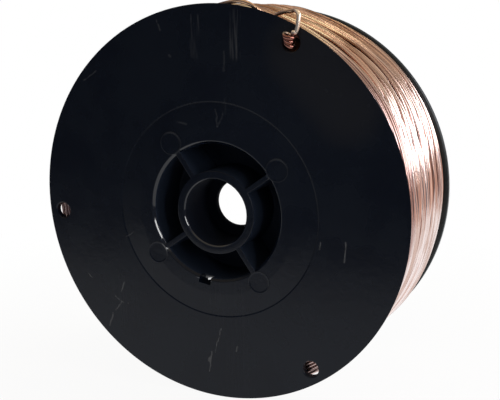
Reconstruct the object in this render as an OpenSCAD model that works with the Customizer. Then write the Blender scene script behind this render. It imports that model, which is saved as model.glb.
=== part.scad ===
// Spool of copper-coated welding wire. Millimetres, +Z up.
// The origin is on the bore axis, midway along the hub tube. The bore runs along Y,
// the front flange faces -Y, and the spool stands on the rims of both flanges.

/* [Flanges] */
// Diameter of both flanges
flange_d = 100; // [94:1:120]
// Thickness of a flange
flange_t = 2; // [1.6:0.1:3]
// Distance over the outer faces of the two flanges
spool_w = 45; // [40:1:60]
// Radius that rounds each rim
rim_round = 0.5; // [0.2:0.1:0.7]

/* [Barrel] */
// Outer diameter of the barrel that the wire is wound on
barrel_d = 60; // [52:1:70]
// Wall of the barrel
barrel_wall = 2.6; // [1.6:0.1:3.4]

/* [Hub] */
// Bore for the feeder's spindle
bore_d = 16.9; // [14:0.1:18]
// Wall of the hub tube
hub_wall = 2.15; // [1.4:0.05:2.8]
// Length of the hub tube, from the raised pad to the web
hub_len = 12.6; // [10:0.2:20]
// Chamfer at the mouth of the bore
bore_chamfer = 0.3; // [0.1:0.1:0.8]
// Diameter of the recess around the hub tube
recess_d = 34.6; // [30:0.2:38]
// Wall around the recess
recess_wall = 1.8; // [1.2:0.1:2.4]
// Chamfer on the edge of the recess
recess_chamfer = 1.1; // [0.2:0.1:1.4]
// Thickness of the web that closes the recess and the bore
web_t = 1.8; // [1.2:0.1:3]
// Diameter of the hole in the middle of the web
web_hole_d = 12.1; // [8:0.1:13]
// Number of ribs that hold the hub tube
rib_count = 4; // [3:1:6]
// Thickness of a rib
rib_t = 1.3; // [0.8:0.1:2]
// Length along the bore of the ribs behind the pad
back_rib_len = 10; // [6:1:10]
// Angle of the first rib above the X axis
rib_angle = 34.7; // [0:0.1:89]

/* [Front face] */
// Height of the raised pad around the recess
pad_h = 0.3; // [0.1:0.1:0.6]
// Diameter of the round marks beside the recess
mark_d = 5.7; // [3:0.1:6.2]
// Height of a round mark above the pad
mark_h = 0.15; // [0.05:0.05:0.4]
// How far a round mark reaches over the chamfer of the recess
mark_overlap = 0.75; // [0:0.05:0.9]
// Width of the square notch in the edge of the recess
notch_w = 3.3; // [1.6:0.1:4]
// How far the notch reaches outward from the recess
notch_reach = 1.9; // [1:0.1:3]
// Depth of the notch below the pad
notch_depth = 1.9; // [0.6:0.1:2]
// Angle of the notch above the X axis
notch_angle = -101; // [-115:1:-85]

/* [Tie holes] */
// Diameter of the small holes that a wire end is tied in
tie_hole_d = 4.2; // [1.6:0.1:4.6]
// Distance from the rim to the centre of a tie hole
tie_hole_inset = 4; // [3.6:0.1:8]
// Tie holes in each flange
tie_hole_count = 3; // [1:1:6]
// Angle of the first tie hole above the X axis
tie_hole_angle = 63.5; // [40:0.5:80]

/* [Wire] */
// Diameter of the wire
wire_d = 0.8; // [0.6:0.1:1]
// Depth of the full winding below the flange rims
winding_depth = 1.3; // [1:0.1:10]
// Clearance between the winding and the spool
winding_clear = 0.1; // [0.05:0.05:0.3]
// Width of the lower turns beside each flange
shoulder_w = 4; // [2:0.5:6]
// How much lower those turns lie at the flange
shoulder_drop = 1; // [0.5:0.1:3.5]
// Bands of turns that stand out between the shoulders
band_count = 6; // [3:1:8]
// Depth of the hollows between the bands
hollow_depth = 0.6; // [0.2:0.1:1]
// Width of a hollow
hollow_w = 2.9; // [1:0.1:4]
// Whole turns in the curl at the end of the wire
curl_turns = 3; // [1:1:4]
// Distance from turn to turn in the curl
curl_pitch = 1; // [0.9:0.05:1.4]
// Radius of the curl, to the middle of the wire
curl_r = 0.85; // [0.6:0.05:1.1]

/* [Hidden] */
$fn = 128;
eps = 0.2;
// Angle at which the turned solids start, half a facet on, so that no corner of a meshed rim is lowest
seam_angle = 1.32;

flange_r = flange_d / 2;
barrel_r = barrel_d / 2;
barrel_in = barrel_r - barrel_wall;
bore_r = bore_d / 2;
hub_r = bore_r + hub_wall;
recess_r = recess_d / 2;
recess_out = recess_r + recess_wall;
pad_y = -hub_len / 2;
floor_y = hub_len / 2;
web_y = floor_y + web_t;
web_hole_r = web_hole_d / 2;
front_y = pad_y + pad_h;
front_in = front_y + flange_t;
rear_y = front_y + spool_w;
rear_in = rear_y - flange_t;
mark_r = recess_r + recess_chamfer - mark_overlap + mark_d / 2;
tie_hole_r = flange_r - tie_hole_inset;
winding_r = flange_r - winding_depth;
winding_in = barrel_r + winding_clear;
winding_front = front_in + winding_clear;
winding_rear = rear_in - winding_clear;

// Corner of a section, rounded about the centre (x, y) from one angle to another
function corner(x, y, r, from, to, steps = 4) =
    [for (i = [0 : steps]) let (a = from + (to - from) * i / steps) [x + r * cos(a), y + r * sin(a)]];

// Turns a section drawn as [radius, place along the bore] into a solid round the Y axis
module turned(section) {
    rotate([-90, 0, 0]) rotate(seam_angle) rotate_extrude() polygon(section);
}

// Places children at an angle in the plane of the flanges, their own Z along the bore
module at_polar(angle, radius, y) {
    rotate([0, -angle, 0]) translate([radius, y, 0]) rotate([-90, 0, 0]) children();
}

// One moulding: two flanges, the barrel, a hub tube that stands in a recess on a pierced web
// and four ribs, and the ribs that brace the recess inside the barrel
module spool() {
    section = concat(
        [[bore_r + bore_chamfer, pad_y], [bore_r, pad_y + bore_chamfer], [bore_r, floor_y],
         [web_hole_r, floor_y], [web_hole_r, web_y], [recess_out, web_y],
         [recess_out, front_in], [barrel_in, front_in], [barrel_in, rear_y]],
        corner(flange_r - rim_round, rear_y - rim_round, rim_round, 90, 0),
        corner(flange_r - rim_round, rear_in + rim_round, rim_round, 0, -90),
        [[barrel_r, rear_in], [barrel_r, front_in]],
        corner(flange_r - rim_round, front_in - rim_round, rim_round, 90, 0),
        corner(flange_r - rim_round, front_y + rim_round, rim_round, 0, -90),
        [[barrel_in + pad_h / 2, front_y], [barrel_in - pad_h / 2, pad_y],
         [recess_r + recess_chamfer, pad_y], [recess_r, pad_y + recess_chamfer],
         [recess_r, floor_y], [hub_r, floor_y], [hub_r, pad_y]]);
    color("#1b1d22")
    difference() {
        union() {
            turned(section);
            for (i = [0 : rib_count - 1]) {
                turn = rib_angle + i * 360 / rib_count;
                rotate([0, -turn, 0])
                    translate([hub_r - eps, pad_y, -rib_t / 2])
                        cube([recess_r + recess_chamfer - hub_r + 2 * eps, hub_len + web_t / 2, rib_t]);
                rotate([0, -turn, 0])
                    translate([recess_out - eps, front_in - eps, -rib_t / 2])
                        cube([barrel_in - recess_out + 2 * eps, back_rib_len, rib_t]);
                at_polar(turn, mark_r, pad_y - mark_h) cylinder(d = mark_d, h = mark_h + flange_t, $fn = 48);
            }
        }
        for (i = [0 : tie_hole_count - 1])
            at_polar(tie_hole_angle + i * 360 / tie_hole_count, tie_hole_r, front_y - 1)
                cylinder(d = tie_hole_d, h = spool_w + 2, $fn = 32);
        rotate([0, -notch_angle, 0])
            translate([recess_r - eps, pad_y - 1, -notch_w / 2])
                cube([notch_reach + eps, notch_depth + 1, notch_w]);
    }
}

// The wound wire: one turned solid round the barrel, in shallow bands where the turns bunch up,
// a little lower beside the flanges
module wire_winding() {
    front_shoulder = winding_front + shoulder_w;
    rear_shoulder = winding_rear - shoulder_w / 2;
    band = (rear_shoulder - front_shoulder) / band_count;
    bands = [for (i = [band_count - 1 : -1 : 1])
        for (p = [[0, hollow_w / 2], [hollow_depth, 0], [0, -hollow_w / 2]])
            [winding_r - p[0], front_shoulder + i * band + p[1]]];
    color("#c98e74")
    turned(concat([[winding_in, winding_front], [winding_in, winding_rear],
                   [winding_r - shoulder_drop / 3, winding_rear], [winding_r, rear_shoulder]],
                  bands,
                  [[winding_r, front_shoulder], [winding_r - shoulder_drop, winding_front]]));
}

// Radius of the winding's surface beside the front flange
function surface_r(y) =
    winding_r - shoulder_drop * max(0, 1 - (y - winding_front) / shoulder_w);

// Point at an angle and radius in the plane of the flanges
function polar(angle, r, y) = [r * cos(angle), y, r * sin(angle)];

// Smooth curve through the points p, with n steps between two of them
function curve_point(a, b, c, d, t) =
    0.5 * (2 * b + (c - a) * t + (2 * a - 5 * b + 4 * c - d) * t * t + (3 * b - a - 3 * c + d) * t * t * t);
function smooth(p, n) =
    let (last = len(p) - 1)
    concat([for (i = [0 : last - 1]) for (k = [0 : n - 1])
        curve_point(p[max(i - 1, 0)], p[i], p[i + 1], p[min(i + 2, last)], k / n)], [p[last]]);

// Frames that travel along the path without twisting
function unit(v) = v / norm(v);
function tangent(p, i) = unit(p[min(i + 1, len(p) - 1)] - p[max(i - 1, 0)]);
function normals(p, i = 0, list = []) =
    i == len(p) ? list :
    let (t = tangent(p, i), n = i == 0 ? cross(t, [0, 1, 0.2]) : list[i - 1] - t * (list[i - 1] * t))
    normals(p, i + 1, concat(list, [unit(n)]));

// Round tube along a path
module tube(path, d, sides = 8) {
    n = normals(path);
    points = [for (i = [0 : len(path) - 1])
        let (b = cross(tangent(path, i), n[i]))
        for (k = [0 : sides - 1])
            path[i] + d / 2 * (n[i] * cos(k * 360 / sides) + b * sin(k * 360 / sides))];
    walls = [for (i = [0 : len(path) - 2]) for (k = [0 : sides - 1])
        let (a = i * sides + k, b = i * sides + (k + 1) % sides)
        [a, a + sides, b + sides, b]];
    ends = [[for (k = [0 : sides - 1]) k],
            [for (k = [sides - 1 : -1 : 0]) (len(path) - 1) * sides + k]];
    polyhedron(points, concat(ends, walls), convexity = 6);
}

// Free end of the wire: off the winding, over the front rim, curled, and hooked in a tie hole
module wire_end() {
    r = wire_d / 2;
    hole = polar(tie_hole_angle, tie_hole_r, front_y);
    lie_y = winding_front + shoulder_w / 2;
    lie_r = surface_r(lie_y) + r + winding_clear;
    face_y = front_y - r - winding_clear;
    curl_y = face_y - curl_r;
    curl_top = hole[2] + curl_turns * curl_pitch - 1;
    lean = 0.2;
    run = [for (a = [118 : -7 : 90]) polar(a, lie_r, lie_y)];
    over = [polar(82, lie_r + 0.4, lie_y - 0.3),
            polar(74.5, flange_r - 0.3, lie_y - 1),
            polar(69.5, flange_r + 0.9, front_in - 0.2),
            polar(66.2, flange_r + 2.3, front_y + 0.7),
            polar(65, flange_r + 2.5, front_y - 0.4),
            polar(64.4, flange_r + 1.6, face_y - 0.4),
            polar(64.2, flange_r - 0.2, face_y - 0.5),
            [hole[0] + curl_r + 0.25, curl_y - 0.25, curl_top + 1]];
    curl = [for (a = [0 : 30 : curl_turns * 360])
        [hole[0] + curl_r * cos(a), curl_y + curl_r * sin(a),
         curl_top - curl_pitch * a / 360 - lean * curl_r * cos(a)]];
    hook = [[hole[0] + curl_r - 0.1, face_y - 0.35, hole[2] - 0.9],
            [hole[0] + 0.4, face_y + 0.3, hole[2] - 0.4],
            [hole[0] + 0.2, front_y + flange_t / 2, hole[2] - 0.2],
            [hole[0] + 0.1, front_in - 0.2, hole[2]]];
    color("#c98e74")
    tube(concat(smooth(concat(run, over), 2), curl, smooth(hook, 2)), wire_d);
}

spool();
wire_winding();
wire_end();
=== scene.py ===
import math

import bpy
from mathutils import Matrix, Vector, noise


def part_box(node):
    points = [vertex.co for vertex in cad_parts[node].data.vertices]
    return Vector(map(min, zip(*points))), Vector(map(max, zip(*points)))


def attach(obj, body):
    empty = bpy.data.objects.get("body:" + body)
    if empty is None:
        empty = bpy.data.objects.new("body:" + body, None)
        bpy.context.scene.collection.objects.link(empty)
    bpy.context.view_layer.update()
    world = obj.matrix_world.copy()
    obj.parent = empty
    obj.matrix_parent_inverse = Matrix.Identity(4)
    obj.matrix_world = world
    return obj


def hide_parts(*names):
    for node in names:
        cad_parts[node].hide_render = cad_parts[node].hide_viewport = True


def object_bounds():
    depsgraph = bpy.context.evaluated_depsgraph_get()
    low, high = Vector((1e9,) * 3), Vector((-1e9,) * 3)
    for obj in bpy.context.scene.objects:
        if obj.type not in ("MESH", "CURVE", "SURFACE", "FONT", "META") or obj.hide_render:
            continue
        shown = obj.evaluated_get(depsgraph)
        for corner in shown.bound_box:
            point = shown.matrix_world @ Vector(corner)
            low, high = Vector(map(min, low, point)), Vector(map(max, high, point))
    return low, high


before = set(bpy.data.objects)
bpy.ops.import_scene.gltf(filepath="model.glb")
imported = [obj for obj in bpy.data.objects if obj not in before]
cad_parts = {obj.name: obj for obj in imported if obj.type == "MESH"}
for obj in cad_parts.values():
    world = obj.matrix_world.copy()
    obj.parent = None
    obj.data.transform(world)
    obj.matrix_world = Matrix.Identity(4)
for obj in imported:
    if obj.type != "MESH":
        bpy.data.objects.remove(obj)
cad_box = [list(corner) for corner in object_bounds()]


# ---- Camera ----
# A portrait lens about 20 cm away, to the right of the ribbed front and a little above it.
# It looks at the middle of the bore's axis, moved aside and shifted to frame the whole spool.

def put(thing):
    """Links an object to the scene."""
    bpy.context.scene.collection.objects.link(thing)
    return thing


camera_turn, camera_rise = math.radians(20.73), math.radians(15.84)
aim, distance, moved_right, moved_down = Vector((0, 0.016, 0)), 0.2223, 0.0148, 0.0183
toward = Vector((math.sin(camera_turn) * math.cos(camera_rise),
                 -math.cos(camera_turn) * math.cos(camera_rise), math.sin(camera_rise)))
across = Vector((math.cos(camera_turn), math.sin(camera_turn), 0))
upward = toward.cross(across)
camera = put(bpy.data.objects.new("camera", bpy.data.cameras.new("camera")))
camera.location = aim + toward * distance + across * moved_right - upward * moved_down
camera.rotation_euler = (math.pi / 2 - camera_rise, 0, camera_turn)
camera.data.lens = 58.34
camera.data.shift_x = -0.1119
camera.data.shift_y = 0.1271
camera.data.clip_start = 0.01
bpy.context.scene.camera = camera
bpy.context.scene.view_settings.view_transform = "Standard"


# ---- Floor and backdrop ----
# A sheet of white paper under the spool, in a white studio. The lens and shiny surfaces see
# the paper as flat white, and it still takes part of the spool's shadow.

class Signal:
    """A socket of a shader tree. Arithmetic on it adds Math nodes, and node() adds any other."""

    def __init__(self, tree, socket=None):
        self.tree, self.socket = tree, socket

    def feed(self, socket, value):
        """Links a Signal to a node's input, or sets the input to a plain value."""
        if isinstance(value, Signal):
            self.tree.links.new(value.socket, socket)
        else:
            socket.default_value = value

    def node(self, kind, settings, inputs, out=0):
        """A new node with its settings and inputs, as the Signal of one of its outputs."""
        made = self.tree.nodes.new(kind)
        for key, value in settings.items():
            setattr(made, key, value)
        for key, value in inputs.items():
            self.feed(made.inputs[key], value)
        return Signal(self.tree, made.outputs[out])

    def math(self, operation, first, second=0.0):
        return self.node("ShaderNodeMath", {"operation": operation}, {0: first, 1: second})

    def __add__(self, other): return self.math("ADD", self, other)
    def __radd__(self, other): return self.math("ADD", other, self)
    def __sub__(self, other): return self.math("SUBTRACT", self, other)
    def __rsub__(self, other): return self.math("SUBTRACT", other, self)
    def __mul__(self, other): return self.math("MULTIPLY", self, other)
    def __rmul__(self, other): return self.math("MULTIPLY", other, self)
    def __pow__(self, other): return self.math("POWER", self, other)
    def most(self, other): return self.math("MAXIMUM", self, other)
    def least(self, other): return self.math("MINIMUM", self, other)

    def ramp(self, low, high, to_low=0.0, to_high=1.0):
        """The value from low to high mapped smoothly to to_low to to_high."""
        return self.node("ShaderNodeMapRange", {"interpolation_type": "SMOOTHSTEP"},
                         {"Value": self, "From Min": low, "From Max": high,
                          "To Min": to_low, "To Max": to_high})

    def mix(self, low, high):
        """The colour low where this is 0, high where it is 1."""
        return self.node("ShaderNodeMix", {"data_type": "RGBA"}, {0: self, 6: low, 7: high}, 2)

    def parts(self):
        """The X, Y and Z of a vector."""
        split = self.node("ShaderNodeSeparateXYZ", {}, {0: self})
        return [Signal(self.tree, socket) for socket in split.socket.node.outputs]

    def vector(self, x, y, z):
        return self.node("ShaderNodeCombineXYZ", {}, {0: x, 1: y, 2: z})

    def noise(self, scale, detail=2.0, roughness=0.5):
        """Smooth noise, about 0.5 on average, over this vector."""
        return self.node("ShaderNodeTexNoise", {}, {"Vector": self, "Scale": scale, "Detail": detail,
                                                    "Roughness": roughness})

    def bump(self, distance):
        """A normal that shows this as a height of up to distance, in metres."""
        return self.node("ShaderNodeBump", {}, {"Height": self, "Distance": distance})


def material(name):
    """A new material, its tree as a Signal and its surface shader's inputs."""
    made = bpy.data.materials.new(name)
    made.use_nodes = True
    return made, Signal(made.node_tree), made.node_tree.nodes["Principled BSDF"].inputs


def mesh_object(name, points, faces, made_of, smooth=True):
    """A new object in the scene from its points in metres, its faces and its material."""
    mesh = bpy.data.meshes.new(name)
    mesh.from_pydata([tuple(point) for point in points], [], faces)
    mesh.update()
    mesh.materials.append(made_of)
    if smooth:
        mesh.shade_smooth()
    return put(bpy.data.objects.new(name, mesh))


paper, tree, surface = material("white_paper")
surface["Roughness"].default_value = 0.9
surface["Specular IOR Level"].default_value = 0.1
place = tree.node("ShaderNodeTexCoord", {}, {}, "Object")
grain = place.noise(900.0, 3.0)
from_spool = tree.node("ShaderNodeVectorMath", {"operation": "LENGTH"}, {0: place}, "Value")
tree.feed(surface["Base Color"],
          grain.ramp(0.3, 0.7).mix((0.80, 0.80, 0.80, 1), (0.83, 0.83, 0.83, 1)))
sight, shine, through = (tree.node("ShaderNodeLightPath", {}, {}, ray)
                         for ray in ("Is Camera Ray", "Is Glossy Ray", "Is Transmission Ray"))
white = tree.node("ShaderNodeEmission", {}, {"Color": sight.mix((0.97, 0.98, 1.0, 1), (1, 1, 1, 1)),
                                             "Strength": 1.0})
paper_shader = Signal(tree.tree, surface["Base Color"].node.outputs[0])
mostly_white = 0.93
whiteness = from_spool.ramp(0.05, 0.22, mostly_white, 1.0) * sight + mostly_white * (shine + through)
seen = tree.node("ShaderNodeMixShader", {}, {"Fac": whiteness, 1: paper_shader, 2: white})
tree.feed(tree.tree.nodes["Material Output"].inputs["Surface"], seen)

floor_z = round(cad_box[0][2], 4)
left, right, near, far = -0.9, 0.175, -0.12, 0.9
sheet = [(x, y, floor_z) for x in (left, right) for y in (near, far)]
mesh_object("sheet", sheet, [(0, 2, 3, 1)], paper, False)


# ---- Light ----
# Plain soft studio light: a dim room with a warm ceiling, a soft box and a low warm card to the
# right of the winding, a strip overhead, one that picks out the edges and a card in front.

world = bpy.data.worlds.new("room")
bpy.context.scene.world = world
world.use_nodes = True
tree = Signal(world.node_tree)
sight = tree.node("ShaderNodeLightPath", {}, {}, "Is Camera Ray")
background = world.node_tree.nodes["Background"]
ceiling = tree.node("ShaderNodeTexCoord", {}, {}, "Generated").parts()[2].ramp(0.42, 0.72)
room = ceiling.mix((0.90, 0.95, 1.12, 1), (1.0, 0.87, 0.68, 1))
tree.feed(background.inputs["Color"], sight.mix(room, (1, 1, 1, 1)))
tree.feed(background.inputs["Strength"], (0.14 + 0.46 * ceiling) * (1.0 - sight) + sight)


lamp_distance = 0.9


def soft_box(name, turn, rise, width, height, radiance, colour=(1, 1, 1)):
    """A lamp panel that faces the spool. Its turn is from the front round to the right."""
    lamp = bpy.data.lights.new(name, "AREA")
    lamp.shape = "RECTANGLE"
    lamp.size, lamp.size_y = width, height
    lamp.energy = radiance * math.pi * width * height
    lamp.color = colour
    turn, rise = math.radians(turn), math.radians(rise)
    out = Vector((math.sin(turn) * math.cos(rise), -math.cos(turn) * math.cos(rise), math.sin(rise)))
    thing = put(bpy.data.objects.new(name, lamp))
    thing.location = out * lamp_distance
    thing.rotation_euler = out.to_track_quat("Z", "Y").to_euler()


soft_box("right_box", 108, 25.5, 1.13, 0.45, 4.5, (1.0, 0.98, 1.04))
soft_box("top_strip", 150, 68, 0.08, 0.5, 3.8, (1.0, 0.90, 0.70))
soft_box("front_card", -19, -3, 0.24, 0.20, 0.23, (0.80, 0.95, 1.2))
soft_box("low_card", 118, -7.3, 1.2, 0.43, 0.68, (1.0, 0.62, 0.44))
soft_box("edge_strip", 54.5, 12, 0.09, 0.34, 12.0)


# ---- Spool ----
# One injection moulding in glossy black polystyrene: two flanges, the barrel, and a recessed
# hub tube on four ribs, with rounded edges, ejector marks with a fine raised rim, and tie holes.

MM = 0.001
mark_h, mark_at, mark_r = 0.15, 20.5, 2.85
spool_low, spool_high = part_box("spool")
flange_r, rear_y = round(spool_high.x / MM, 1), round(spool_high.y / MM, 1)
pad_y = round(spool_low.y / MM + mark_h, 1)
bore_r, web_hole_r, hub_r, recess_r, recess_out = 8.45, 6.05, 10.6, 17.3, 19.1
barrel_in, barrel_r = 27.4, 30.0
flange_t, pad_h, hub_length, web_t = 2.0, 0.3, 12.6, 1.8
front_y = pad_y + pad_h
front_in, rear_in = front_y + flange_t, rear_y - flange_t
floor_y = pad_y + hub_length
web_y = floor_y + web_t
rib_count, rib_turn, rib_t, back_rib_length = 4, 34.7, 1.3, 10
tie_count, tie_turn, tie_r, tie_hole_r = 3, 63.5, 46.0, 2.1
notch_turn = -101


def rounded(corners, steps=4):
    """A closed outline of (x, y) with each corner rounded to its own radius."""
    outline = []
    for i, (x, y, radius) in enumerate(corners):
        here = Vector((x, y))
        before = Vector(corners[i - 1][:2]) - here
        after = Vector(corners[(i + 1) % len(corners)][:2]) - here
        half = before.angle(after) / 2
        reach = min(radius / math.tan(half), before.length * 0.49, after.length * 0.49)
        if radius == 0:
            outline.append((x, y))
            continue
        before.normalize()
        after.normalize()
        centre = here + (before + after).normalized() * reach / math.cos(half)
        start, end = here + before * reach - centre, here + after * reach - centre
        swing = math.atan2(start.x * end.y - start.y * end.x, start.dot(end))
        for k in range(steps + 1):
            c, s = math.cos(swing * k / steps), math.sin(swing * k / steps)
            outline.append((centre.x + start.x * c - start.y * s, centre.y + start.x * s + start.y * c))
    return outline


def around(angle, radius, y):
    """The point at an angle in degrees and a radius in millimetres from the bore's axis."""
    angle = math.radians(angle)
    return Vector((radius * math.cos(angle) * MM, y * MM, radius * math.sin(angle) * MM))


def lathe(outline, sides):
    """Points and faces of a closed outline of (radius, y) turned about the bore's axis."""
    n = len(outline)
    points = [around(360 * j / sides, r, y) for j in range(sides) for r, y in outline]
    faces = [(j * n + i, j * n + (i + 1) % n, (j + 1) % sides * n + (i + 1) % n, (j + 1) % sides * n + i)
             for j in range(sides) for i in range(n)]
    return points, faces


def join(parts):
    """Several (points, faces) as one."""
    points, faces = [], []
    for more, other in parts:
        faces += [tuple(i + len(points) for i in face) for face in other]
        points += more
    return points, faces


def plug(angle, radius, outline, sides=40):
    """An outline of (radius, y) turned about an axis at a place on the flange."""
    at = around(angle, radius, 0)
    points, faces = lathe(outline, sides)
    return [point + at for point in points], faces


def block(angle, inner, outer, front, back, thick_front, thick_back, edge):
    """A radial wall whose front edges are rounded, a little thicker at its root."""
    a, b = thick_front / 2, thick_back / 2
    section = rounded([(-a, front, edge), (a, front, edge), (b, back, 0), (-b, back, 0)])
    angle = math.radians(angle)
    out = Vector((math.cos(angle), 0, math.sin(angle)))
    side = Vector((-math.sin(angle), 0, math.cos(angle)))
    n = len(section)
    points = [(out * r + side * s + Vector((0, y, 0))) * MM for r in (inner, outer) for s, y in section]
    faces = [(i, i + n, (i + 1) % n + n, (i + 1) % n) for i in range(n)]
    return points, faces + [tuple(range(n)), tuple(range(2 * n - 1, n - 1, -1))]


def flash(at, length, width):
    """A sliver of flash turned to the front right, where it catches the light."""
    facing, along, thick = Vector((0.640, -0.722, 0.265)), Vector((0.748, 0.664, 0)), 0.1
    up = facing.cross(along)
    points = [at + (along * a * length + up * b * width + facing * c * thick) * MM / 2
              for a in (-1, 1) for b in (-1, 1) for c in (-1, 1)]
    return points, [(0, 1, 3, 2), (4, 6, 7, 5), (0, 4, 5, 1), (2, 3, 7, 6), (0, 2, 6, 4), (1, 5, 7, 3)]


body = rounded([
    (bore_r + 0.3, pad_y, 0.1), (bore_r, pad_y + 0.3, 0.15), (bore_r, floor_y, 0.3),
    (web_hole_r, floor_y, 0.15), (web_hole_r, web_y, 0.2), (recess_out, web_y, 0.4),
    (recess_out, front_in, 0.5), (barrel_in, front_in, 0.5), (barrel_in, rear_y, 0.4),
    (flange_r, rear_y, 0.5), (flange_r, rear_in, 0.5), (barrel_r, rear_in, 0.4),
    (barrel_r, front_in, 0.4), (flange_r - 0.7, front_in, 0.4), (flange_r, front_y, 0.1),
    (barrel_in + 0.1, front_y, 0.04), (barrel_in - 0.25, front_y + 0.1, 0.04), (barrel_in - 6, pad_y, 9),
    (recess_r + 0.65, pad_y, 0.25), (recess_r, pad_y + 0.65, 0.4),
    (recess_r, floor_y, 0.5), (hub_r, floor_y, 0.5), (hub_r, pad_y, 0.25)])
relief = []
for i in range(rib_count):
    turn = rib_turn + 360 / rib_count * i
    relief.append(block(turn, hub_r - 0.3, recess_r + 0.9, pad_y + 0.02, floor_y + 0.2, rib_t, 1.5, 0.2))
    relief.append(block(turn, recess_out - 0.2, barrel_in + 0.2, front_in - 0.2,
                        front_in - 0.2 + back_rib_length, rib_t, rib_t, 0.2))
    mark = rounded([(0.001, pad_y - 0.02, 0), (mark_r - 0.45, pad_y - 0.02, 0.05),
                    (mark_r - 0.05, pad_y - 0.13, 0.04), (mark_r, pad_y - 0.1, 0.02),
                    (mark_r, pad_y + 1.5, 0), (0.001, pad_y + 1.5, 0)])
    relief.append(plug(turn, mark_at, mark, 64))
relief.append(flash(around(262.8, recess_r + 0.34, pad_y + 0.7), 1.3, 0.5))
relief.append(flash(around(216.2, recess_r + 0.3, pad_y), 0.5, 0.4))
cutters = []
for i in range(tie_count):
    for low, high in ((front_y, front_in), (rear_in, rear_y)):
        lip_r, mouth_r = tie_hole_r + 0.25, tie_hole_r + 0.8
        bevelled = [(0.001, low - 1), (mouth_r, low - 1), (mouth_r, low - 0.15), (lip_r, low + 0.02),
                    (tie_hole_r, low + 0.25), (tie_hole_r, high - 0.25), (lip_r, high - 0.02),
                    (mouth_r, high + 0.15), (mouth_r, high + 1), (0.001, high + 1)]
        cutters.append(plug(tie_turn + 360 / tie_count * i, tie_r, bevelled))
cutters.append(block(notch_turn, recess_r - 0.4, recess_r + 1.9, pad_y - 1, pad_y + 1.9, 3.4, 3.2, 0))


def in_millimetres(tree):
    """The place on the piece, in millimetres."""
    metres = tree.node("ShaderNodeTexCoord", {}, {}, "Object")
    return tree.node("ShaderNodeVectorMath", {"operation": "SCALE"}, {0: metres, "Scale": 1 / MM})


black, tree, surface = material("black_polystyrene")
place = in_millimetres(tree)
x, y, z = place.parts()
radius = (x * x + z * z) ** 0.5
on_front = y.ramp(front_y + 0.1, front_y + 0.5, 1.0, 0.0)
waver = place.noise(0.45, 2.0) * 2.6 - 1.3


def stroke(x0, z0, x1, z1, width, depth=1.0):
    """A wavering line on the front face from (x0, z0) to (x1, z1), in millimetres."""
    dx, dz = x1 - x0, z1 - z0
    length = dx * dx + dz * dz
    along = ((x - x0) * (dx / length) + (z - z0) * (dz / length)).most(0.0).least(1.0)
    away_x, away_z = x + waver * 0.35 - x0 - along * dx, z - z0 - along * dz
    return (away_x * away_x + away_z * away_z).ramp(0.0, width * width, depth, 0.0) * on_front


# Thin scratches, longer rubs, and the burr round each ejector mark.
scratches = sum(stroke(*line) for line in (
    (-28.2, -21.2, -29.3, -24.1, 0.2), (-31.2, -25.5, -29.2, -26.8, 0.25),
    (-29.2, -26.9, -27.4, -27.1, 0.2), (-29.2, -26.9, -31.3, -29.5, 0.2),
    (-32.3, -30.5, -33.6, -34.2, 0.3), (0.5, -30.8, -1.4, -37.5, 0.2),
    (-2.3, -37.6, -3.3, -43.2, 0.25), (-2.9, -39.4, -3.1, -40.2, 0.5),
    (5.0, -35.2, 4.7, -36.4, 0.3), (34.3, -4.6, 34.0, -9.6, 0.2),
    (-39.2, -19.8, -38.3, -20.9, 0.25), (-24.1, -7.0, -26.3, -8.4, 0.2, 0.4),
    (-14.4, 46.2, -13.4, 43.9, 0.3, 0.4), (-36.2, 31.7, -32.4, 34.0, 0.25, 0.4),
    (-11.2, 38.0, -10.8, 37.8, 0.4, 0.3), (27.9, -5.2, 27.6, -6.9, 0.2),
    (0.8, 25.5, 1.4, 21.5, 0.25, 0.3), (1.4, 21.5, 3.0, 24.6, 0.25, 0.25),
    (3.5, 39.0, 3.3, 34.6, 0.3, 0.25), (-9.7, 22.2, -7.2, 21.7, 0.35, 0.25)))
rubs = sum(stroke(*line) for line in (
    (-4.0, 46.5, -4.2, 38.5, 1.6), (6.6, 47.2, 6.4, 38.5, 1.9), (3.6, 27.6, 3.2, 24.8, 0.9, 0.25),
    (-31.0, -24.0, -27.0, -30.0, 7.0, 0.08), (2.0, -22.0, 6.0, -42.0, 8.0, 0.08)))
burrs = 0.0
for i in range(rib_count):
    middle = around(rib_turn + 360 / rib_count * i, mark_at, 0) / MM
    from_mark = ((x - middle.x) * (x - middle.x) + (z - middle.z) * (z - middle.z)) ** 0.5
    burrs = burrs + (from_mark.ramp(mark_r - 0.25, mark_r - 0.05)
                     * from_mark.ramp(mark_r - 0.05, mark_r + 0.15, 1.0, 0.0) * on_front)
streaks = tree.vector(x * 1.5, y, z * 0.06).noise(1.0, 3.0, 0.6).ramp(0.46, 0.66)
mottle = place.noise(0.09, 3.0)
dust = place.noise(1.3, 4.0, 0.7).ramp(0.60, 0.80)
broken = place.noise(1.1, 3.0, 0.7).ramp(0.36, 0.52, 0.15, 1.0)
worn = (scratches * broken + rubs * 0.5 * streaks + dust * 0.06 + burrs * 0.12).least(1.0)
haze = stroke(23.0, 39.0, 34.0, 27.0, 11.0, 0.7)
# The rear flange's rim is coloured lighter.
rear_rim_band = radius.ramp(flange_r - 1.8, flange_r - 1.2) * y.ramp(rear_in - 1.0, rear_in - 0.2)
clean = mottle.ramp(0.35, 0.65).mix((0.0014, 0.0033, 0.0092, 1), (0.0034, 0.0060, 0.0122, 1))
aged = rear_rim_band.mix(haze.mix(clean, (0.014, 0.014, 0.016, 1)), (0.020, 0.025, 0.026, 1))
tree.feed(surface["Base Color"], worn.mix(aged, (0.08, 0.084, 0.09, 1)))

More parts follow.
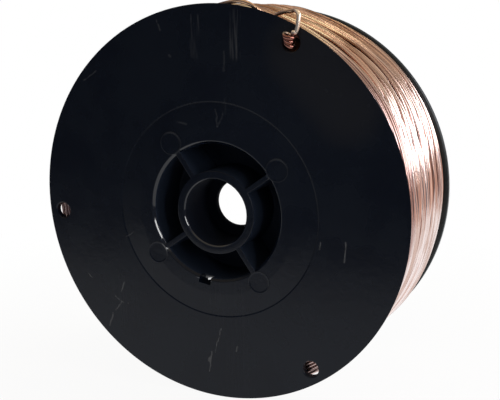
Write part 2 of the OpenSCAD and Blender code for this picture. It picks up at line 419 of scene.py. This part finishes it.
# The rims of the recess and of the bore are glossy, most of all just below the middle, but not at
# the bottom of the recess. So is one side of the notch.
rims = (radius.ramp(recess_r - 0.2, recess_r) * radius.ramp(recess_r + 0.7, recess_r + 1.0, 1.0, 0.0)
        + radius.ramp(bore_r - 0.15, bore_r - 0.05) * radius.ramp(bore_r + 0.45, bore_r + 0.65, 1.0, 0.0))
notch_wall = (z.ramp(-17.3, -17.2, 1.0, 0.0) * radius.ramp(18.2, 18.4, 1.0, 0.0)
              * x.ramp(-1.7, -1.6, 1.0, 0.0))
glossy = rims * z.ramp(-11.6, -10.6) * z.ramp(-3.0, 2.0, 1.0, 0.6) + notch_wall
tree.feed(surface["Roughness"], 0.2 + 0.14 * mottle + 0.25 * worn - 0.19 * glossy)
tree.feed(surface["Coat Weight"], glossy)
surface["Coat Roughness"].default_value = 0.06
surface["Specular IOR Level"].default_value = 0.21
height = place.noise(0.6, 2.0) * 0.6 + place.noise(4.0, 3.0) * 0.03 - scratches * 0.5 * broken
tree.feed(surface["Normal"], height.bump(0.00006))

# The bore and the recess walls are rougher than the faces. Their colour is painted light and shade: the
# recess is painted several times lighter than the black plastic, against its shade, and the bore darker,
# as painted shade.
dull_lit_and_shaded, tree, surface = material("unpolished_polystyrene_painted_light")
place = in_millimetres(tree)
x, _, z = place.parts()
in_bore = ((x * x + z * z) ** 0.5).ramp(9.2, 9.8, 1.0, 0.0)
mottle = place.noise(0.5, 3.0)
# Painted light: lighter than the black plastic. Painted shade: darker in the bore.
matt_painted_lighter = mottle.mix((0.014, 0.020, 0.034, 1), (0.017, 0.024, 0.040, 1))
tree.feed(surface["Base Color"], in_bore.mix(matt_painted_lighter, (0.0055, 0.008, 0.015, 1)))
tree.feed(surface["Roughness"], 0.34 + 0.2 * mottle + 0.35 * in_bore)
surface["Specular IOR Level"].default_value = 0.08
tree.feed(surface["Normal"], place.noise(2.5, 3.0).bump(0.00004))

spool = mesh_object("spool_moulding", *lathe(body, 288), black)
holes = mesh_object("hole_cutters", *join(cutters), black)
cut = spool.modifiers.new("holes", "BOOLEAN")
cut.operation, cut.solver, cut.object = "DIFFERENCE", "EXACT", holes
bpy.context.view_layer.update()
mesh = bpy.data.meshes.new_from_object(spool.evaluated_get(bpy.context.evaluated_depsgraph_get()))
spool.modifiers.clear()
bpy.data.objects.remove(holes)
points = [vertex.co.copy() for vertex in mesh.vertices]
faces = [tuple(polygon.vertices) for polygon in mesh.polygons]
bpy.data.objects.remove(spool)
spool = mesh_object("spool_moulding", *join([(points, faces)] + relief), black)
spool.data.materials.append(dull_lit_and_shaded)
for polygon in spool.data.polygons:
    at_r, at_y = math.hypot(polygon.center.x, polygon.center.z) / MM, polygon.center.y / MM
    if (at_r < bore_r + 0.05 or hub_r - 0.1 < at_r < recess_r + 0.05) and pad_y + 0.6 < at_y < web_y:
        polygon.material_index = 1
spool.data.set_sharp_from_angle(angle=math.radians(34))
even = spool.modifiers.new("even_normals", "WEIGHTED_NORMAL")
even.keep_sharp = True
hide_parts("spool")
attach(spool, "root")


# ---- Winding ----
# Nearly fifty turns of 0.8 mm copper-coated steel wire show on the outside. They lie on the
# layers below in loose groups that cross a little, with gaps, and swell at the top.

wire_r = 0.4
wind_r = round(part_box("wire_winding")[1].x / MM, 1)
wind_in, wind_front, wind_rear = barrel_r + 0.1, front_in + 0.1, rear_in - 0.1
bands, band_drop = 6, 0.6
front_shoulder, front_drop, rear_shoulder, rear_drop = 4, 1.0, 2, 0.33


def wind_top(y):
    """Radius of the winding's surface: six shallow bands, lower beside the flanges."""
    front = front_drop * max(0, 1 - (y - wind_front) / front_shoulder)
    rear = rear_drop * max(0, 1 - (wind_rear - y) / rear_shoulder)
    banded = wind_rear - wind_front - front_shoulder - rear_shoulder
    band = (y - wind_front - front_shoulder) / banded * bands
    inside = 0.5 < band < bands - 0.5
    hollow = band_drop * max(0, 1 - 4 * abs(band - round(band))) if inside else 0
    return wind_r - front - rear - hollow


def hump(angle, centre, width):
    """1 at the angle centre in degrees, falling off smoothly to both sides round the circle."""
    return math.exp(-(((angle - centre + 180) % 360 - 180) / width) ** 2)


def tube(name, path, radius, sides, made_of, turn_of=lambda i: 0.0):
    """A round wire along a path in millimetres, its UVs the length along it and its turn."""
    n = len(path)
    points, along, length = [], [], 0.0
    normal = None
    for i in range(n):
        tangent = (path[min(i + 1, n - 1)] - path[max(i - 1, 0)]).normalized()
        if normal is None:
            normal = tangent.cross(Vector((0, 1, 0.2)))
        normal = (normal - tangent * normal.dot(tangent)).normalized()
        side = tangent.cross(normal)
        if i:
            length += (path[i] - path[i - 1]).length
        along.append(length)
        for k in range(sides):
            angle = 2 * math.pi * k / sides
            points.append((path[i] + (normal * math.cos(angle) + side * math.sin(angle)) * radius) * MM)
    faces = [(i * sides + k, (i + 1) * sides + k, (i + 1) * sides + (k + 1) % sides,
              i * sides + (k + 1) % sides) for i in range(n - 1) for k in range(sides)]
    faces += [tuple(range(sides)), tuple(range(n * sides - 1, (n - 1) * sides - 1, -1))]
    made = mesh_object(name, points, faces, made_of)
    layer = made.data.uv_layers.new(name="wire")
    for polygon in made.data.polygons:
        for corner, vertex in zip(polygon.loop_indices, polygon.vertices):
            layer.data[corner].uv = (along[vertex // sides] / 10, turn_of(vertex // sides))
    return made


copper, tree, surface = material("coppered_wire")
wire = tree.node("ShaderNodeUVMap", {"uv_map": "wire"}, {})
along, turn, _ = wire.parts()
place = in_millimetres(tree)
x, y, z = place.parts()
# Bright and brown turns alternate at random, which also paints the highlights on the turns and the shade
# between them. As painted reflection they are pale pink low down and more golden and darker towards the
# top.
# The front turns are duller up there, as painted shade, and pale grey-white low down, as painted
# reflection.
# The sprung end is yellow, with a pale cream loose part as painted highlight and a dark brown curl as
# painted shade.
tone = tree.vector(x * 0.03, turn * 0.9, z * 0.03).noise(1.0, 3.0, 0.6).ramp(0.40, 0.57)
patch = tree.vector(along * 1.6, turn, 0.0).noise(1.0, 3.0)
speck = place.noise(2.2, 4.0, 0.75)
golden = tree.vector(x * 0.012, turn * 2.3, z * 0.012).noise(1.0, 1.0).ramp(0.50, 0.60)
# Painted reflection: pale pink low down, golden and darker towards the top.
gilt_painted_highlight = z.ramp(38.0, 44.0).mix((1.0, 0.74, 0.63, 1), (1.0, 0.82, 0.58, 1))
bright = z.ramp(24.0, 37.0).mix((0.98, 0.84, 0.80, 1), golden.mix((0.88, 0.56, 0.43, 1), gilt_painted_highlight))
brown = z.ramp(24.0, 46.0).mix((0.70, 0.50, 0.43, 1), (0.40, 0.21, 0.12, 1))
stain_and_painted_shade = z.ramp(24.0, 46.0).mix((0.74, 0.52, 0.46, 1), (0.50, 0.28, 0.19, 1))
# Painted reflection: the front turns low down are pale grey-white.
painted_white_low = y.ramp(-3.1, -2.9, 1.0, 0.0) * z.ramp(-30.0, -25.0, 1.0, 0.0)
stains_and_painted_light = painted_white_low.mix(speck.ramp(0.62, 0.80).mix(tone.mix(brown, bright), stain_and_painted_shade), (0.90, 0.88, 0.87, 1))
# Painted shade: the front turns up top are a duller rose.
first = y.ramp(2.6, 4.6, 0.85, 0.0) * z.ramp(32.0, 42.0, 1.0, 0.0)
sprung = y.ramp(-4.8, -4.4, 1.0, 0.0)
loose = y.ramp(-6.6, -5.8, 1.0, 0.0)
# Painted shade: the curl, and the winding's side behind the upper tie hole, are dark brown.
curl_and_hole_shade = y.ramp(-6.9, -6.6, 1.0, 0.0) * z.ramp(42.8, 43.6, 1.0, 0.0)
curl_and_hole_shade = curl_and_hole_shade + (y.ramp(-4.2, -4.0) * y.ramp(-1.4, -1.2, 1.0, 0.0)
                   * z.ramp(37.0, 38.5) * z.ramp(44.5, 45.0, 1.0, 0.0))
lying = sprung.mix(first.mix(stains_and_painted_light, (0.52, 0.33, 0.29, 1)), (0.72, 0.45, 0.28, 1))
# Painted highlight: the loose end is pale cream.
hooked = loose.mix(lying, (1.0, 0.84, 0.68, 1))
tree.feed(surface["Base Color"], curl_and_hole_shade.mix(hooked, (0.28, 0.12, 0.09, 1)))
surface["Metallic"].default_value = 1.0
tree.feed(surface["Roughness"], 0.08 + 0.12 * patch + 0.08 * speck + 0.18 * (loose - curl_and_hole_shade))
tree.feed(surface["Normal"], (place.noise(0.4, 2.0, 0.5) * 0.8 + speck * 0.05).bump(0.00002))

# The core under the top layer shows in the gaps between turns. Its near-black colour is painted shade,
# darker towards the top, with lighter lines along its rings.
buried_painted_shade, tree, surface = material("buried_wire_painted_shade")
place = in_millimetres(tree)
_, y, z = place.parts()
rings = tree.math("SINE", y * (math.pi / wire_r)) * 0.5 + 0.5
deep_painted_shade = z.ramp(22.0, 36.0).mix((0.18, 0.11, 0.10, 1), (0.05, 0.022, 0.012, 1))
tree.feed(surface["Base Color"], rings.mix(deep_painted_shade, (0.34, 0.21, 0.17, 1)))
surface["Metallic"].default_value = 1.0
tree.feed(surface["Roughness"], 0.35 + 0.2 * place.noise(0.8))
tree.feed(surface["Normal"], rings.bump(0.0002))

core_front, core_rear, core_steps, core_sunk = wind_front + 0.5, wind_rear - 0.2, 56, 0.62
core_outline = [(wind_in, wind_rear), (wind_in, core_front)]
for k in range(core_steps + 1):
    y = core_front + (core_rear - core_front) * k / core_steps
    core_outline.append((wind_top(y) - core_sunk, y))
core = mesh_object("winding_core", *lathe(core_outline, 192), buried_painted_shade)

# Each turn leans with its neighbours, bunches into groups and pairs, and has small kinks of its
# own. The crown, the rear on the right and the front on the left stand a little higher.
turns, steps = 48, 240
path = []
for i in range(turns * steps + 1):
    t = i / steps
    angle = 360 * t % 360
    c, s = math.cos(math.radians(angle)), math.sin(math.radians(angle))
    across_it = t / turns
    edge = min(1, 6 * across_it, 6 * (1 - across_it))
    near_edge = min(1, 20 * across_it, 20 - 20 * across_it)
    cross = (2.6 * hump(angle, 42, 18) - 2.2 * hump(angle, 8, 20)
             + noise.noise(Vector((c, s, 3 + t * 0.06))) * 2.2)
    group = noise.noise(Vector((c * 0.9, s * 0.9, 20 + t * 0.43)))
    pair = noise.noise(Vector((c * 1.3, s * 1.3, 90 + t * 1.37)))
    split = math.tanh((t - 22 - 3 * hump(angle, 42, 20)) * 1.5) * hump(angle, 26, 22)
    kink = noise.noise(Vector((c * 6, s * 6, t * 7.3)))
    hop = noise.noise(Vector((c * 6, s * 6, 40 + t * 6.7)))
    y = (wind_front + 0.45 + (wind_rear - wind_front - 0.9) * across_it
         + edge * (cross * 0.8 + group * 0.9 + split * 0.3) + near_edge * (kink * 0.06 + pair * 0.30))
    crown = (near_edge * hump(angle, 84, 8)
             + edge * (1.0 * hump(angle, 78, 16) + 0.4 * hump(angle, 40, 25)))
    rearward = ((0.1 + 0.7 * hump(angle, 45, 40) + 1.5 * hump(angle, 314, 22))
                * min(1, max(0, across_it * 2 - 0.8)))
    front_rise = 0.9 * hump(angle, 184, 40) * max(0, 1 - across_it * 8)
    lift = edge * (noise.noise(Vector((c * 1.1, s * 1.1, 60 + t * 0.61))) * 0.45 + 0.08 * split)
    fine = near_edge * (noise.noise(Vector((c * 1.7, s * 1.7, 120 + t * 1.9))) * 0.24 + hop * 0.04)
    height = wind_top(y) - wire_r - 0.1 + crown + rearward + front_rise + lift + fine
    path.append(around(angle, height, y) / MM)
layer = tube("winding_layer", path, wire_r, 8, copper, lambda i: i / steps)

# Six turns on the winding's front side, which the tie holes show.
side_turns, side_steps, side_y, side_r = 6, 96, wind_front + 0.4, wind_r - 1.45
path = []
for i in range(side_turns * side_steps):
    angle = 360 * i / side_steps
    y = side_y + 0.1 * noise.noise(Vector((i * 0.11, 5, 0))) + 1.6 * hump(angle, 62, 8)
    inward = i * 2 * wire_r / side_steps + 0.08 * noise.noise(Vector((i * 0.05, 0, 0)))
    path.append(around(angle, side_r - inward, y) / MM)
side = tube("winding_side", path, wire_r, 8, copper)
for piece in (core, layer, side):
    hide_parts("wire_winding")
    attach(piece, "root")


# ---- Wire end ----
# The outer end of the same wire: it springs over the front rim, dips behind it, bends over it
# again, curls three times and hooks into the upper tie hole.

def curve_through(points, steps):
    """A smooth curve through the points."""
    result = []
    for i in range(len(points) - 1):
        a, b, c, d = (points[min(max(j, 0), len(points) - 1)] for j in (i - 1, i, i + 1, i + 2))
        for k in range(steps):
            t = k / steps
            result.append(0.5 * (2 * b + (c - a) * t + (2 * a - 5 * b + 4 * c - d) * t * t
                                 + (3 * b - a - 3 * c + d) * t * t * t))
    return result + [points[-1]]


def polar(angle, radius, y):
    """The point at an angle in degrees and a radius, all in millimetres."""
    return around(angle, radius, y) / MM


strand_r = wire_r + 0.09
hole = polar(tie_turn, tie_r, front_y)
lie_y, lie_r = wind_front + 1.6, wind_top(wind_front + 2) + wire_r + 0.1
face_y = front_y - wire_r - 0.1
curl_r, curl_y, curl_top, curl_pitch, curl_loops = 0.95, face_y - 0.9, hole.z + 1.7, 0.82, 3
path = [polar(angle, lie_r, lie_y) for angle in range(118, 96, -7)]
path += [polar(92, lie_r + 0.4, lie_y), polar(87.5, 49.8, -3.6), polar(84.3, 50.4, -4.8),
         polar(81.5, 50.9, -5.4), polar(78.8, 50.7, -5.3), polar(76.2, 49.8, -4.2),
         polar(74, 49.3, -3), polar(72, 49.5, -2.9), polar(69.5, 51, -4.1), polar(67, 52.2, -5),
         polar(65.5, 52.7, -6), polar(64.3, 52.4, -6.8), polar(63.7, 51.4, -7.1),
         polar(63.1, 49.9, -7.2), polar(62.9, 48.5, -7.3),
         Vector((hole.x + 1.15, curl_y - 0.1, curl_top + 0.55))]
for a in range(0, 360 * curl_loops + 1, 24):
    turn = math.radians(a)
    loop_r, lean = curl_r * (1 + 0.2 * math.sin(1.9 * turn / 6)), 0.35 + 0.3 * math.sin(0.85 * turn)
    path.append(Vector((hole.x + loop_r * math.cos(turn), curl_y + loop_r * math.sin(turn),
                        curl_top - curl_pitch * a / 360 - lean * loop_r * math.cos(turn))))
path += [Vector((hole.x + 0.75, face_y - 0.35, hole.z - 0.9)),
         Vector((hole.x + 0.4, face_y + 0.3, hole.z - 0.4)),
         Vector((hole.x + 0.2, front_y + 1, hole.z - 0.2)), Vector((hole.x + 0.1, front_in - 0.2, hole.z))]
end = tube("wire_end_strand", curve_through(path, 5), strand_r, 12, copper)
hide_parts("wire_end")
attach(end, "root")
